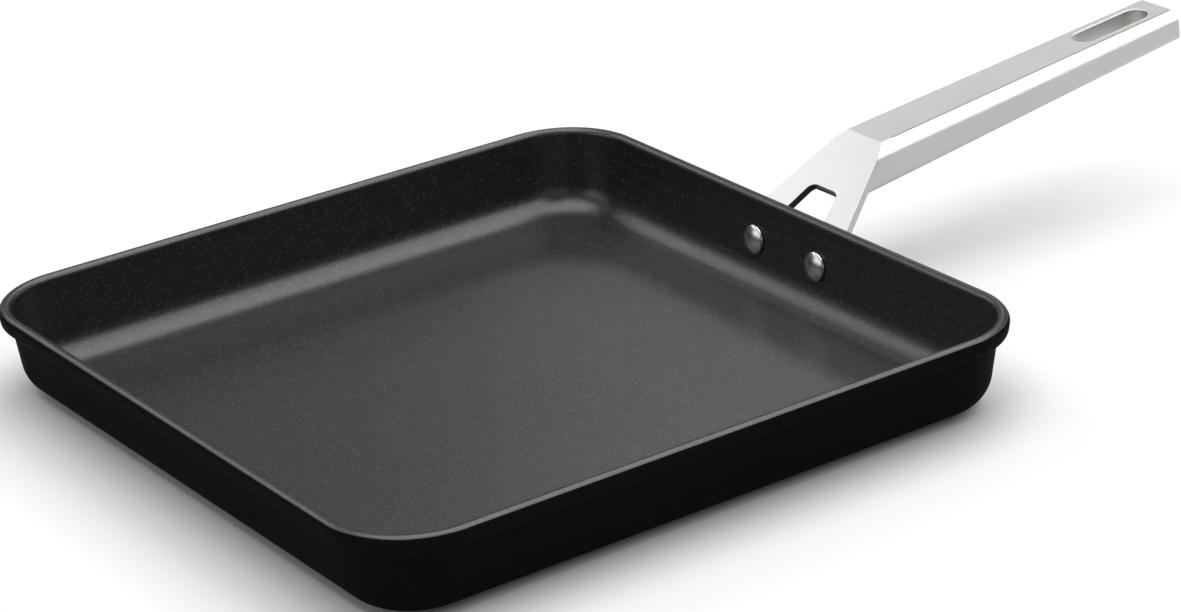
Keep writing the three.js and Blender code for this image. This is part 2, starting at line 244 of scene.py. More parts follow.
def ring_faces(low: int, high: int, count: int) -> list[tuple[int, int, int, int]]:
    """Four-sided faces between two closed loops whose first corners are given."""
    pairs = ((j, (j + 1) % count) for j in range(count))
    return [(low + j, low + k, high + k, high + j) for j, k in pairs]


def loft(name: str, loops: Sequence[Sequence[Vector]], endless: bool = False) -> Piece:
    """A solid skinned over loops of equal length.

    Args:
        name: Name of the piece.
        loops: Closed loops of corners, in metres.
        endless: Whether the last loop meets the first again, in place of a cap at each end.

    Returns:
        The new object.
    """
    count = len(loops[0])
    last = (len(loops) - 1) * count
    faces: list[Sequence[int]] = []
    for low in range(0, last, count):
        faces += ring_faces(low, low + count, count)
    faces += ring_faces(last, 0, count) if endless else [range(count), range(last, last + count)]
    return from_faces(name, [p for loop in loops for p in loop], faces)


def to_plain_mesh(piece: Piece) -> None:
    """Turns a piece with modifiers into a plain mesh and removes the modifiers.

    Args:
        piece: The piece.
    """
    depsgraph = bpy.context.evaluated_depsgraph_get()
    depsgraph.update()
    mesh = bpy.data.meshes.new_from_object(
        piece.evaluated_get(depsgraph), preserve_all_data_layers=True, depsgraph=depsgraph
    )
    old = piece.data
    piece.modifiers.clear()
    piece.data = mesh
    mesh.name = piece.name
    bpy.data.meshes.remove(old)


def combine(piece: Piece, tool: Piece, cut: Cut) -> None:
    """Joins a second solid to a piece or removes it, and deletes the second solid.

    Args:
        piece: The solid that is kept.
        tool: The solid that is joined or removed.
        cut: Which of the two.
    """
    step = piece.modifiers.new(cut.name, "BOOLEAN")
    step.operation = cut.value
    step.solver = "EXACT"
    step.object = tool
    step.material_mode = "TRANSFER"
    to_plain_mesh(piece)
    mesh = tool.data
    bpy.data.objects.remove(tool)
    bpy.data.meshes.remove(mesh)


def smooth(piece: Piece, sharp_angle: float) -> None:
    """Shades a piece smooth up to an angle, and keeps its wide flats flat.

    Args:
        piece: The piece.
        sharp_angle: Edges that turn more than this, in degrees, stay sharp.
    """
    piece.data.shade_smooth()
    piece.data.set_sharp_from_angle(angle=math.radians(sharp_angle))
    step = piece.modifiers.new("flat faces", "WEIGHTED_NORMAL")
    step.keep_sharp = True
    step.weight = 100
    to_plain_mesh(piece)


def dress(piece: Piece, *materials: Material) -> None:
    """Fills a piece's material slots in order, over the empty ones that a cut leaves.

    Args:
        piece: The piece.
        materials: Its materials.
    """
    slots = piece.data.materials
    for place, material in enumerate(materials):
        if place < len(slots):
            slots[place] = material
        else:
            slots.append(material)


def hand_over(piece: Piece, slot: MaterialSlot, *nodes: str) -> None:
    """Fixes a piece to the part's body in place of the CAD nodes it stands for.

    Args:
        piece: The finished piece.
        slot: The record's material slot; not used.
        nodes: Names of the CAD nodes.
    """
    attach(piece, BODY)
    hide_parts(*nodes)
    triangles = sum(len(p.vertices) - 2 for p in piece.data.polygons)
    LOG.info("%s stands for %s: %d triangles", piece.name, ", ".join(nodes), triangles)


# Node trees


class NodeSheet:
    """A node tree while it is being wired."""

    def __init__(self, tree: Tree) -> None:
        """Starts with an empty tree."""
        self.tree = tree
        tree.nodes.clear()

    def add(self, kind: str, inputs: dict | None = None, **settings: object) -> bpy.types.Node:
        """Adds a node.

        Args:
            kind: Blender's name of the node type.
            inputs: Values or sockets for its inputs, by name or number.
            settings: Properties of the node itself.

        Returns:
            The new node.
        """
        node = self.tree.nodes.new(kind)
        for key, value in settings.items():
            setattr(node, key, value)
        for key, value in (inputs or {}).items():
            self.feed(node.inputs[key], value)
        return node

    def feed(self, socket: Socket, value: object) -> None:
        """Links an input to a socket, or sets it to a value.

        Args:
            socket: The input.
            value: Another node's output, or a plain value.
        """
        if isinstance(value, Socket):
            self.tree.links.new(value, socket)
        else:
            socket.default_value = value

    def result(self, kind: str, inputs: dict | None = None, **settings: object) -> Socket:
        """The first output of a new node."""
        return self.add(kind, inputs, **settings).outputs[0]

    def math(self, operation: str, a: object, b: object, clamp: bool = False) -> Socket:
        """The result of one sum on two numbers or sockets."""
        return self.result("ShaderNodeMath", {0: a, 1: b}, operation=operation, use_clamp=clamp)

    def spread(self, value: Socket, band: tuple[float, float], low: float, high: float) -> Socket:
        """A value inside a band, carried over to between low and high."""
        return self.result("ShaderNodeMapRange", {0: value, 1: band[0], 2: band[1], 3: low, 4: high})

    def blend(self, share: Socket, a: object, b: object) -> Socket:
        """A colour between two colours."""
        return self.add("ShaderNodeMix", {0: share, 6: a, 7: b}, data_type="RGBA").outputs[2]

    def noise(self, where: Socket, scale: float, detail: float = 2.0, roughness: float = 0.5) -> Socket:
        """A smooth random value from 0 to 1."""
        inputs = {"Vector": where, "Scale": scale, "Detail": detail, "Roughness": roughness}
        return self.result("ShaderNodeTexNoise", inputs)

    def object_place(self, scale: Sequence[float] = (1, 1, 1), turn: Sequence[float] = (0, 0, 0)) -> Socket:
        """A point's place on the object, turned and stretched."""
        place = self.add("ShaderNodeTexCoord").outputs["Object"]
        return self.result("ShaderNodeMapping", {"Vector": place, "Rotation": turn, "Scale": scale})

    def grain(self, height: Socket, distance: float) -> Socket:
        """The surface's direction, tilted by a grain of some height in metres."""
        return self.result("ShaderNodeBump", {"Strength": 1.0, "Distance": distance, "Height": height})


def new_material(name: str) -> tuple[Material, NodeSheet]:
    """A new material and the sheet that wires it.

    Args:
        name: Name of the material.

    Returns:
        The material and its sheet.
    """
    material = bpy.data.materials.new(name)
    material.use_nodes = True
    return material, NodeSheet(material.node_tree)


def close_material(sheet: NodeSheet, surface: Socket) -> None:
    """Wires the finished shader to the material's output."""
    sheet.add("ShaderNodeOutputMaterial", {"Surface": surface})


def grey(level: float) -> tuple[float, float, float, float]:
    """A neutral colour."""
    return (level, level, level, 1.0)


def new_tree(name: str, inputs: dict[str, Given], output: str) -> tuple[Tree, NodeSheet]:
    """A new node tree that makes a shape, and the sheet that wires it.

    Args:
        name: Name of the tree.
        inputs: What the tree is given, by name.
        output: Name of the shape that it makes.

    Returns:
        The tree and its sheet.
    """
    tree = bpy.data.node_groups.new(name, "GeometryNodeTree")
    for label, given in inputs.items():
        tree.interface.new_socket(label, in_out="INPUT", socket_type=given.value)
    tree.interface.new_socket(output, in_out="OUTPUT", socket_type=Given.SHAPE.value)
    return tree, NodeSheet(tree)


def run_tree(piece: Piece, tree: Tree, values: dict[str, object]) -> None:
    """Runs a node tree on a piece and keeps the result as its plain mesh.

    Args:
        piece: The piece, whose mesh is the tree's first input.
        tree: The node tree.
        values: Value of each other input, by name.
    """
    step = piece.modifiers.new(tree.name, "NODES")
    step.node_group = tree
    for item in tree.interface.items_tree:
        if item.in_out == "INPUT" and item.name in values:
            step[item.identifier] = values[item.name]
    to_plain_mesh(piece)


# Finishes


@dataclass(frozen=True)
class NonStickCoat:
    """The sprayed coat of the tray: a grained dark film with fine lighter flecks."""

    name: str
    base: float
    # Colour where the rim turns outwards. In the cooking coat it is darker than base, as painted shade.
    rim: float
    fleck: float
    fleck_share: float
    roughness: float
    gloss: float
    grain_height: float
    index: float
    fleck_scale: float = 1300.0
    fleck_edge: tuple[float, float] = (0.2, 0.5)
    fleck_polish: float = -0.05
    rim_fleck: float = 1.5
    grain_scale: float = 800.0
    drift_scale: float = 14.0
    drift_dark: float = 0.12
    cloud_scale: float = 260.0
    cloud_swing: float = 0.035

    def material(self) -> Material:
        """Builds the coat's material.

        Returns:
            The new material.
        """
        material, sheet = new_material(self.name)
        place = sheet.object_place()
        cells = sheet.add("ShaderNodeTexVoronoi", {"Vector": place, "Scale": self.fleck_scale}).outputs
        in_middle = sheet.spread(cells["Distance"], self.fleck_edge, 1.0, 0.0)
        draw = sheet.result("ShaderNodeSeparateColor", {0: cells["Color"]})
        flecks = sheet.math("MULTIPLY", in_middle, sheet.math("LESS_THAN", draw, self.fleck_share))
        drift = sheet.noise(place, self.drift_scale, 3.0)
        outward_shade = sheet.add("ShaderNodeAttribute", attribute_name=SIDE_AND_SHADE_MARK).outputs["Fac"]
        # The film and its flecks darken towards the rim colour where the rim turns outwards: painted shade.
        film = sheet.blend(outward_shade, grey(self.base), grey(self.rim))
        film = sheet.blend(sheet.spread(drift, NOISE_BAND, 0.0, self.drift_dark), film, grey(0.0))
        speckled = sheet.blend(outward_shade, grey(self.fleck), grey(self.rim * self.rim_fleck))
        cloud = sheet.noise(place, self.cloud_scale, 5.0, 0.7)
        low, high = self.roughness - self.cloud_swing, self.roughness + self.cloud_swing
        polish = sheet.math("MULTIPLY", flecks, self.fleck_polish)
        inputs = {
            "Base Color": sheet.blend(flecks, film, speckled),
            "Roughness": sheet.math("ADD", sheet.spread(cloud, NOISE_BAND, low, high), polish),
            "Specular IOR Level": self.gloss,
            "IOR": self.index,
            "Normal": sheet.grain(sheet.noise(place, self.grain_scale, 3.0, 0.6), self.grain_height),
        }
        close_material(sheet, sheet.result("ShaderNodeBsdfPrincipled", inputs))
        return material


@dataclass(frozen=True)
class Steel:
    """Stainless steel with a drawn grain that runs along the handle."""

    name: str
    base: tuple[float, float, float]
    roughness: float
    grain_height: float
    grain_stretch: tuple[float, float, float] = (26.0, 2600.0, 2600.0)
    grain_slope: float = 6.2
    grain_swing: float = 0.02
    speck_scale: float = 1900.0
    speck_height: float = 0.1
    cloud_scale: float = 30.0
    cloud_band: tuple[float, float] = (0.35, 0.65)
    cloud_swing: float = 0.01
    dulling: float = 0.955

    def material(self) -> Material:
        """Builds the steel's material.

        Returns:
            The new material.
        """
        material, sheet = new_material(self.name)
        along = (0.0, math.radians(self.grain_slope), 0.0)
        strokes = sheet.noise(sheet.object_place(self.grain_stretch, along), 1.0, 3.0, 0.65)
        place = sheet.object_place()
        cloud = sheet.noise(place, self.cloud_scale, 4.0, 0.6)
        speck = sheet.noise(place, self.speck_scale, 1.0)
        bright = sheet.spread(cloud, self.cloud_band, 0.0, 1.0)
        dull = (*(c * self.dulling for c in self.base), 1.0)
        low, high = self.roughness - self.grain_swing, self.roughness + self.grain_swing
        drawn = sheet.spread(strokes, NOISE_BAND, low, high)
        clouded = sheet.spread(cloud, NOISE_BAND, -self.cloud_swing, self.cloud_swing)
        height = sheet.math("ADD", strokes, sheet.math("MULTIPLY", speck, self.speck_height))
        inputs = {
            "Base Color": sheet.blend(bright, dull, (*self.base, 1.0)),
            "Metallic": 1.0,
            "Roughness": sheet.math("ADD", drawn, clouded),
            "Normal": sheet.grain(height, self.grain_height),
        }
        close_material(sheet, sheet.result("ShaderNodeBsdfPrincipled", inputs))
        return material


# The cooking coat's rim colour is painted shade on the rim's outer side.
COOKING_COAT = NonStickCoat(
    "cooking_coat", base=0.009, rim=0.002, fleck=0.075, fleck_share=0.16,
    roughness=0.34, gloss=0.5, grain_height=0.00002, index=1.68,
)
OUTER_COAT = NonStickCoat(
    "outer_coat", base=0.006, rim=0.006, fleck=0.008, fleck_share=0.3,
    roughness=0.6, gloss=0.01, grain_height=0.000008, index=1.45,
)
SATIN_STEEL = Steel("satin_steel", (0.47, 0.47, 0.46), roughness=0.22, grain_height=0.0000003)
POLISHED_STEEL = Steel("polished_steel", (0.62, 0.62, 0.606), roughness=0.4, grain_height=0.0000008)
RIVET_STEEL = Steel("rivet_steel", (0.66, 0.66, 0.65), roughness=0.26, grain_height=0.0000005)
# Near-black metal for the window's cut edges: painted shade where the edges face the shadowed space under the
# bracket.
WINDOW_EDGE_SHADE = Steel("window_edge_painted_shade", (0.02, 0.02, 0.02), roughness=0.45, grain_height=0.000002)


# The tray


@dataclass
class Tray:
    """The pressed tray: one section carried round a square with round corners. Sizes in millimetres."""

    side: float = 290.0
    corner_r: float = 34.2
    height: float = 35.4
    curl_w: float = 5.1
    curl_h: float = 7.4
    sheet: float = 1.5
    wall_draft: float = 8.0
    base_fillet_r: float = 13.5
    curl_seam: float = 0.6
    curl_seam_depth: float = 1.2
    flat_inset: float = 24.0
    hold: float = 0.5
    weld: float = 0.05
    corner_steps: int = 28
    # Angles, in degrees round the rim's upper bend, over which the cooking coat darkens as painted shade.
    fade: tuple[float, float] = (119.0, 131.0)
    outside_mark: float = 0.99

    def __post_init__(self) -> None:
        """Works out the lean of the walls and the middles of the rim's two bends."""
        self.curl_r = self.curl_w / 2
        self.draft = math.radians(self.wall_draft)
        self.inward = Vector((math.cos(self.draft), math.sin(self.draft)))
        self.down = Vector((math.sin(self.draft), -math.cos(self.draft)))
        self.curl_top = Vector((self.curl_r, self.height - self.curl_r))
        self.curl_foot = self.curl_top + self.down * (self.curl_h - self.curl_w)
        self.outer_offset = self.curl_r - self.sheet
        self.seam_offset = self.outer_offset - self.curl_seam

    def along_wall(self, offset: float, reach: float) -> Vector:
        """A point of the section, counted from the rim's upper bend across the wall and down it."""
        return self.curl_top + self.inward * offset + self.down * reach

    def bend_middle(self) -> Vector:
        """The middle of the bend between wall and base.

        Returns:
            A point of the section.
        """
        across = self.along_wall(self.outer_offset, 0).dot(self.inward)
        inset_x = (self.base_fillet_r * (1 - math.sin(self.draft)) + across) / math.cos(self.draft)
        return Vector((inset_x, self.base_fillet_r))

    def inside_section(self) -> Loop:
        """The inside, from the floor over the cove and up the wall to the rim.

        Returns:
            Points of the section.
        """
        middle = self.bend_middle()
        r = self.base_fillet_r - self.sheet
        cove = arc(middle, r, 1.5 * math.pi, math.pi + self.draft, steps=20)
        flat = [Vector((self.flat_inset, self.sheet)), Vector((middle.x + self.hold, self.sheet))]
        wall = [cove[-1] - self.down * self.hold, self.along_wall(self.curl_r, self.hold)]
        return [*flat, *cove, *wall]

    def rim_section(self) -> Loop:
        """The rolled rim, from the wall's inner face over the top to the end of the curl.

        Returns:
            Points of the section.
        """
        outward = math.pi + self.draft
        curl_end = 1.5 * math.pi + self.draft + math.asin(self.seam_offset / self.curl_r)
        top = arc(self.curl_top, self.curl_r, self.draft, outward, steps=28)
        return [*top, *arc(self.curl_foot, self.curl_r, outward, curl_end, steps=14)]

    def outside_section(self) -> Loop:
        """The outside, from the seam under the curl down the wall to the base.

        Returns:
            Points of the section.
        """
        middle = self.bend_middle()
        curl_end = self.curl_h - self.curl_w + math.sqrt(self.curl_r**2 - self.seam_offset**2)
        seam_top = curl_end - self.curl_seam_depth
        fillet = arc(middle, self.base_fillet_r, math.pi + self.draft, 1.5 * math.pi, steps=18)
        seam = [self.along_wall(offset, seam_top) for offset in (self.seam_offset, self.outer_offset)]
        wall = [seam[1] + self.down * self.hold, fillet[0] - self.down * self.hold]
        flat = [Vector((middle.x + self.hold, 0.0)), Vector((self.flat_inset, 0.0))]
        return [*seam, *wall, *fillet, *flat]

    def shade(self, p: Vector) -> float:
        """How far a point of the rim has turned over.

        Args:
            p: The point of the section.

        Returns:
            0 on the inside and the top, 1 where the rim faces outwards; the cooking coat is painted darker by
            this share, as shade.
        """
        way = p - self.curl_top
        angle = math.degrees(math.atan2(way.y, way.x)) % 360
        first, last = self.fade
        return min(max((angle - first) / (last - first), 0.0), 1.0)

    def section_piece(self) -> Piece:
        """The section as a line of edges, marked with the side of the tray that each point is on.

        Returns:
            An object with edges only, which the sweep takes as its input.
        """
        inside, rim, outside = self.inside_section(), self.rim_section(), self.outside_section()
        points = [(-p.x * MM, -p.y * MM, 0.0) for p in (*inside, *rim, *outside)]
        shades = [0.0] * len(inside) + [self.shade(p) for p in rim] + [1.0] * len(outside)
        mesh = bpy.data.meshes.new("tray")
        mesh.from_pydata(points, [(i, i + 1) for i in range(len(points) - 1)], [])
        mark = mesh.attributes.new(SIDE_AND_SHADE_MARK, "FLOAT", "POINT")
        mark.data.foreach_set("value", shades)
        return new_piece("tray", mesh)

    def sweep_tree(self) -> Tree:
        """The node tree that carries the section round the rim and fills the floor and the base.

        Returns:
            The tree, with its sizes as named inputs.
        """
        sizes = dict.fromkeys(("Side", "Corner Radius", "Flat Inset", "Sheet"), Given.NUMBER)
        coats = dict.fromkeys(("Inside Coat", "Outside Coat"), Given.FINISH)
        inputs = {"Section": Given.SHAPE, **sizes, "Corner Steps": Given.COUNT, **coats}
        tree, sheet = new_tree("tray_sweep", inputs, "Tray")
        given = sheet.add("NodeGroupInput").outputs

        def square(inset_by: object) -> Socket:
            """The rim's square with round corners, moved in.

            Args:
                inset_by: How far it is moved in.

            Returns:
                The closed path.
            """
            side = sheet.math("SUBTRACT", given["Side"], sheet.math("MULTIPLY", inset_by, 2.0))
            corner = sheet.math("SUBTRACT", given["Corner Radius"], inset_by)
            path = sheet.result("GeometryNodeCurvePrimitiveQuadrilateral", {"Width": side, "Height": side})
            turns = {"Curve": path, "Radius": corner, "Count": given["Corner Steps"]}
            return sheet.result("GeometryNodeFilletCurve", turns, mode="POLY")

        def flat(height: object) -> Socket:
            """A flat face inside the section's innermost ring.

            Args:
                height: Its height above the base.

            Returns:
                The face.
            """
            face = sheet.result("GeometryNodeFillCurve", {"Curve": square(given["Flat Inset"])}, mode="NGONS")
            up = sheet.result("ShaderNodeCombineXYZ", {"Z": height})
            return sheet.result("GeometryNodeTransform", {"Geometry": face, "Translation": up})

        section = sheet.result("GeometryNodeMeshToCurve", {"Mesh": given["Section"]})
        sweep = {"Curve": square(0.0), "Profile Curve": section}
        skin = sheet.result("GeometryNodeCurveToMesh", sweep)
        marking = {"Geometry": flat(0.0), "Name": SIDE_AND_SHADE_MARK, "Value": 1.0}
        base = sheet.result("GeometryNodeStoreNamedAttribute", marking, data_type="FLOAT", domain="POINT")
        join = sheet.add("GeometryNodeJoinGeometry")
        for shape in (skin, flat(given["Sheet"]), base):
            sheet.feed(join.inputs[0], shape)
        welding = {"Geometry": join.outputs[0], "Distance": self.weld * MM}
        whole = sheet.result("GeometryNodeMergeByDistance", welding)
        real = sheet.result("GeometryNodeRealizeInstances", {"Geometry": whole})
        mark = sheet.result("GeometryNodeInputNamedAttribute", {"Name": SIDE_AND_SHADE_MARK}, data_type="FLOAT")
        limit = {"A": mark, "B": self.outside_mark}
        outside = sheet.result("FunctionNodeCompare", limit, data_type="FLOAT", operation="GREATER_THAN")
        inner = {"Geometry": real, "Material": given["Inside Coat"]}
        coated = sheet.result("GeometryNodeSetMaterial", inner)
        outer = {"Geometry": coated, "Selection": outside, "Material": given["Outside Coat"]}
        sheet.add("NodeGroupOutput", {"Tray": sheet.result("GeometryNodeSetMaterial", outer)})
        return tree

    def build(self) -> None:
        """Builds the tray in its two coats."""
        piece = self.section_piece()
        values = {
            "Side": self.side * MM,
            "Corner Radius": self.corner_r * MM,
            "Flat Inset": self.flat_inset * MM,
            "Sheet": self.sheet * MM,
            "Corner Steps": self.corner_steps,
            "Inside Coat": COOKING_COAT.material(),
            "Outside Coat": OUTER_COAT.material(),
        }
        run_tree(piece, self.sweep_tree(), values)
        turn_outwards(piece.data)
        smooth(piece, PRESSED_EDGE)
        hand_over(piece, MaterialSlot.COAT, "pan_body")


# The handle


@dataclass
class Handle:
    """The hollow steel handle with its fork bracket. Sizes in millimetres."""

    tray: Tray
    crest_reach: float = 34.6
    crest_rise: float = 21.1
    slope: float = 6.2
    length: float = 159.9
    flat_crest: float = 20.4
    flat_end: float = 17.0
    depth_crest: float = 17.0
    depth_end: float = 12.8
    shoulder_r: float = 4.3
    shoulder_bulge: float = 13.0
    lower_edge_r: float = 2.6
    steel: float = 3.0
    underside_t: float = 2.0
    underside_soft: float = 0.3
    end_plate_t: float = 2.5
    end_plate_soft: float = 0.4
    side_relief: float = 0.12
    slot_length: float = 38.0
    slot_width: float = 11.0
    slot_end_land: float = 7.6
    liner_t: float = 1.2
    liner_inner_soft: float = 0.4
    liner_outer_soft: float = 0.05
    rim_clearance: float = 1.1
    leg_spacing: float = 38.2
    leg_w: float = 14.0
    splay_drop: float = 5.8
    window_top_w: float = 15.9
    window_r: float = 4.0
    window_land: float = 0.1
    foot_bend_r: float = 1.5
    foot_steps: int = 12
    rivet_land: float = 1.6
    rivet_tail_d: float = 7.0
    fit_gap: float = 0.25
    edge_r: float = 0.3
    rear_edge_r: float = 0.06
    line_w: float = 0.35
    line_depth: float = 1.2
    seam: float = 0.04
    set_back: float = 0.02
    lead: float = 34.0
    cut_reach: float = 60.0
    cut_depth: float = 80.0

    def __post_init__(self) -> None:
        """Works out the side view: crest, bracket, bends and feet, in X and Z."""
        tray = self.tray
        out = tray.side / 2
        curl = Vector((out - tray.curl_foot.x, tray.curl_foot.y))
        self.wall_out = Vector((tray.inward.x, -tray.inward.y))
        self.foot_down = Vector((-tray.down.x, tray.down.y))
        wall = tray.along_wall(tray.outer_offset, 0)
        foot_face = Vector((out - wall.x, wall.y)) + self.wall_out * self.fit_gap
        rise = math.radians(self.slope)
        self.along = Vector((math.cos(rise), math.sin(rise)))
        self.below = Vector((self.along.y, -self.along.x))
        self.crest = Vector((out + self.crest_reach, tray.height + self.crest_rise))
        to_curl = curl - self.crest
        passing = math.asin((tray.curl_r + self.rim_clearance) / to_curl.length)
        self.plate_down = turned(to_curl.normalized(), passing)
        self.plate_rear = Vector((-self.plate_down.y, self.plate_down.x))
        self.bend = crossing(self.crest, self.plate_down, foot_face, self.foot_down)
        self.plate_length = (self.bend - self.crest).length
        self.crest_turn = (-self.along).angle(self.plate_down)
        foot_turn = self.plate_down.angle(self.foot_down)
        self.foot_half = (self.foot_bend_r + self.steel) * math.tan(foot_turn / 2)
        self.rivet_drop = self.foot_half + self.rivet_land + self.rivet_tail_d / 2
        self.rivet_point = self.bend + self.foot_down * self.rivet_drop

    # Places

    def on_grip(self, s: float, y: float, w: float) -> Vector:
        """A point of the grip, in metres: along it, across it and up from its top."""
        p = self.crest + self.along * s - self.below * w
        return Vector((p.x, y, p.y)) * MM

    def grip_loop(self, s: float, section: Iterable[Vector]) -> Loop:
        """A section of the grip, set at its place along it."""
        return [self.on_grip(s, p.x, p.y) for p in section]

    def on_sheet(self, t: float, y: float, n: float) -> Vector:
        """A point of the bent bracket, in metres: down its front face, across it and behind that face.

        Args:
            t: Distance from the crest, positive towards the feet, before the bend is rounded.
            y: Distance across.
            n: Depth behind the front face.

        Returns:
            The point.
        """
        if t < self.plate_length - self.foot_half:
            p = self.crest + self.plate_down * t + self.plate_rear * n
        elif t < self.plate_length + self.foot_half:
            p = self.in_bend((t - self.plate_length) / self.foot_half, n)
        else:
            p = self.bend + self.foot_down * (t - self.plate_length) + self.wall_out * n
        return Vector((p.x, y, p.y)) * MM

    def in_bend(self, share: float, n: float) -> Vector:
        """A point in the bend above the bracket's feet.

        Args:
            share: From -1 where the bend starts to 1 where it ends.
            n: Depth behind the front face.

        Returns:
            The point, in X and Z.
        """
        first, last = self.plate_rear, self.wall_out
        r = self.foot_bend_r + self.steel
        turn = math.atan2(first.cross(last), first.dot(last))
        normal = turned(first, turn * (share + 1) / 2)
        return self.bend - self.plate_down * self.foot_half + first * r - normal * (r - n)

    # Sections and outlines

    def flat(self, s: float) -> float:
        """Width of the grip's flat top."""
        return self.flat_crest + (self.flat_end - self.flat_crest) * s / self.length

    def depth(self, s: float) -> float:
        """Depth of the grip."""
        return self.depth_crest + (self.depth_end - self.depth_crest) * s / self.length

    def half(self, s: float) -> float:
        """Half of the grip's width."""
        return self.flat(s) / 2 + self.shoulder_r

    def inner_half(self, s: float) -> float:
        """Half of the hollow's width."""
        return self.half(s) - self.steel

    def shoulder_end(self) -> float:
        """Where the grip's shoulder ends, down the bracket's front face."""
        return self.shoulder_r / math.sin(self.crest_turn)

    def window_top(self) -> float:
        """Where the window between the legs starts, down the bracket's front face."""
        rear = self.depth_crest - self.steel * math.cos(self.crest_turn)
        return rear / math.sin(self.crest_turn) + self.window_land

    def fold_lines(self) -> list[float]:
        """Lines across the bracket where its flat sheet is folded, counted from the crest."""
        shares = (2 * i / self.foot_steps - 1 for i in range(self.foot_steps + 1))
        return [self.plate_length + self.foot_half * share for share in shares]

    def shoulder(self, half: float) -> Loop:
        """The grip's shoulder: a bevel with a slight bulge, from the side to the top.

        Args:
            half: Half the grip's width there.

        Returns:
            Corners as (across, up).
        """
        r, bulge = self.shoulder_r, math.radians(self.shoulder_bulge)
        radius = r / math.sqrt(2) / math.sin(bulge)
        inward = Vector((-1.0, -1.0)).normalized() * radius * math.cos(bulge)
        middle = Vector((half - r / 2, -r / 2)) + inward
        return arc(middle, radius, math.pi / 4 - bulge, math.pi / 4 + bulge, steps=12)

    def channel_section(self, s: float) -> Loop:
        """The folded grip's section: outside from the right lower edge to the left, then inside.

        Args:
            s: Distance from the crest.

        Returns:
            Corners as (across, up), anticlockwise.
        """
        half, inner, depth = self.half(s), self.inner_half(s), self.depth(s)
        inner_r, low_r = self.shoulder_r - self.steel, self.lower_edge_r
        lower = arc(Vector((half - low_r, low_r - depth)), low_r, -QUARTER, 0, steps=8)
        edge = half - self.shoulder_r
        out, within = edge + self.line_w / 2, edge - self.line_w / 2
        kept = [p for p in self.shoulder(half) if p.x > out]
        share = (out - edge) / (kept[-1].x - edge)
        line = ((out, kept[-1].y * share), (out, -self.line_depth), (within, -self.line_depth), (within, 0.0))
        right = [*lower, *kept, *(Vector(p) for p in line)]
        turn = arc(Vector((inner - inner_r, -self.shoulder_r)), inner_r, QUARTER, 0, steps=5)
        inside = [*turn, Vector((inner, -depth))]
        return [*right, *mirrored(right), *mirrored(inside), *inside]

    def leg_outline(self) -> Loop:
        """The bracket's outline before it is bent, anticlockwise in (down, across).

        Returns:
            Corners, in millimetres.
        """
        window_top = self.window_top()
        splay_end = (self.tray.height - self.splay_drop - self.crest.y) / self.plate_down.y
        r = self.leg_w / 2
        middle = self.leg_spacing / 2
        rivet = self.plate_length + self.rivet_drop
        inner_corner = Vector((splay_end, middle - r))
        window_corner = Vector((window_top, self.window_top_w / 2))
        window_middle = Vector((window_top, 0.0))
        half = [
            Vector((-2 * self.steel, self.half(0))),
            Vector((self.shoulder_end(), self.half(0))),
            Vector((splay_end, middle + r)),
            *reversed(arc(Vector((rivet, middle)), r, -QUARTER, QUARTER, steps=24)),
            inner_corner,
            *rounded_corner(inner_corner, window_corner, window_middle, self.window_r, steps=10),
        ]
        left = [Vector((p.x, -p.y)) for p in half]
        return [*left, *reversed(half)]

    def slot_outline(self, margin: float) -> Loop:
        """The hanging slot, anticlockwise in (along, across).

        Args:
            margin: How far it is widened.

        Returns:
            Corners, in millimetres.
        """
        r = self.slot_width / 2 + margin
        middle = self.length - self.slot_end_land - self.slot_length / 2
        reach = (self.slot_length - self.slot_width) / 2
        ahead = arc(Vector((middle + reach, 0)), r, -QUARTER, QUARTER, steps=24)
        behind = arc(Vector((middle - reach, 0)), r, QUARTER, 1.5 * math.pi, steps=24)
        return [*ahead, *behind]

    # Cutting solids

    def plate_box(self, first: float, last: float, near: float, far: float) -> Piece:
        """A box across the handle, square to the bracket's front face.

        Args:
            first: Where it starts, down the bracket.
            last: Where it ends.
            near: Distance of one side behind the front face.
            far: Distance of the other side.

        Returns:
            The cutting solid.
        """
        corners = ((first, near), (last, near), (last, far), (first, far))
        outline = [self.crest + self.plate_down * t + self.plate_rear * n for t, n in corners]
        sides = (-self.cut_reach, self.cut_reach)
        return loft("plate_box", [[Vector((p.x, y, p.y)) * MM for p in outline] for y in sides])

    def ahead_of_plate(self, behind: float, first: float) -> Piece:
        """A box on the tray's side of a plane behind the bracket's front face, from some way down it."""
        return self.plate_box(first, self.plate_length + self.cut_reach, behind, -self.cut_depth)

    def slot_cutter(self) -> Piece:
        """A plug for the hanging slot and its liner, with a fine chamfer at the grip's top.

        Returns:
            The cutting solid.
        """
        margin, chamfer, below, above = self.liner_t + self.seam, self.seam, 40.0, 20.0
        wide = margin + chamfer
        levels = ((-below, margin), (-chamfer, margin), (0.0, wide), (above, wide + above))
        loops = [[self.on_grip(p.x, p.y, w) for p in self.slot_outline(m)] for w, m in levels]
        return loft("slot_cut", loops)

    def grip_block(self) -> Piece:
        """The grip's outer form as a full block, drawn in by a hair.

        Returns:
            The solid.
        """
        loops = []
        for s in (-self.plate_length, self.length):
            half, depth = self.half(s), self.depth(s) + self.plate_length
            right = [Vector((half, -depth)), *self.shoulder(half)]
            loops.append(self.grip_loop(s, inset([*right, *mirrored(right)], self.set_back)))
        return loft("grip_block", loops)

    # Pieces

    def channel(self) -> Piece:
        """The folded grip: flat top, shoulders and sides, rounded over at the far end.

        Returns:
            The solid, cut back behind the bracket.
        """
        loops = [self.grip_loop(-self.lead, self.channel_section(-self.lead))]
        for inward, back in reversed(edge_rounding(self.edge_r, 4)):
            s = self.length - back
            loops.append(self.grip_loop(s, inset(self.channel_section(s), inward)))
        piece = loft("handle_shell_look", loops)
        combine(piece, self.ahead_of_plate(self.set_back, -self.cut_reach), Cut.REMOVE)
        combine(piece, self.ahead_of_plate(self.steel + self.side_relief, self.shoulder_end()), Cut.REMOVE)
        return piece

